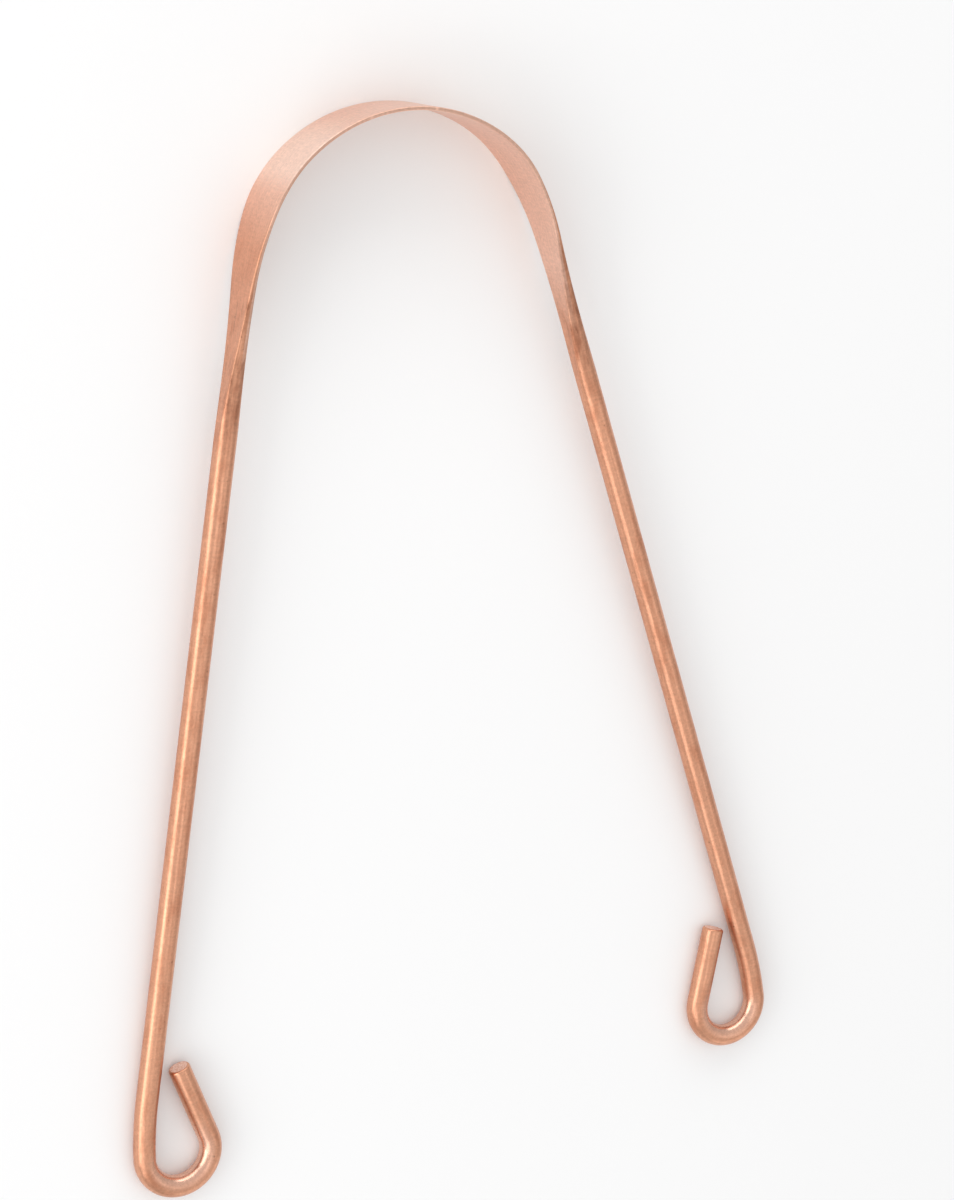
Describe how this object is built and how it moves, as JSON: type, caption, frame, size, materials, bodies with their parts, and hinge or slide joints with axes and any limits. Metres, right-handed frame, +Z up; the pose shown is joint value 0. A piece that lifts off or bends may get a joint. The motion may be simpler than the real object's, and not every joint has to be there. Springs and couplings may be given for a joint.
{
  "type": "tongue scraper",
  "caption": "U-shaped copper tongue scraper: a rod with its middle pressed into a thin bowed blade, springy arms and teardrop eyes at the ends.",
  "frame": {"origin": "middle of the bounding box, at its lower face, which is the blade's lower edge", "axes": "+Z up, square to the plane of the U; +Y towards the bow; X across the arms"},
  "size_m": [0.095, 0.1348, 0.0095],
  "materials": {
    "copper": "bare copper, drawn and pressed, satin"
  },
  "bodies": {
    "bow": {"blade_crown": "copper", "left_blade_flank": "copper", "right_blade_flank": "copper"},
    "left_arm": {"left_neck": "copper", "left_shank": "copper", "left_eye": "copper"},
    "right_arm": {"right_neck": "copper", "right_shank": "copper", "right_eye": "copper"}
  },
  "joints": [
    {"name": "left_arm_flex", "type": "hinge", "parent": "bow", "child": "left_arm", "pos_m": [-0.01511, 0.05808, 0.00475], "axis": [0, 0, 1], "range_deg": [-6, 6], "stiffness_Nm_per_rad": 0.43, "deforming": ["left_blade_flank"]},
    {"name": "right_arm_flex", "type": "hinge", "parent": "bow", "child": "right_arm", "pos_m": [0.01511, 0.05808, 0.00475], "axis": [0, 0, 1], "range_deg": [-6, 6], "stiffness_Nm_per_rad": 0.43, "deforming": ["right_blade_flank"]}
  ],
  "couplings": [
    {"joint": "right_arm_flex", "follows": "left_arm_flex", "ratio": -1}
  ]
}
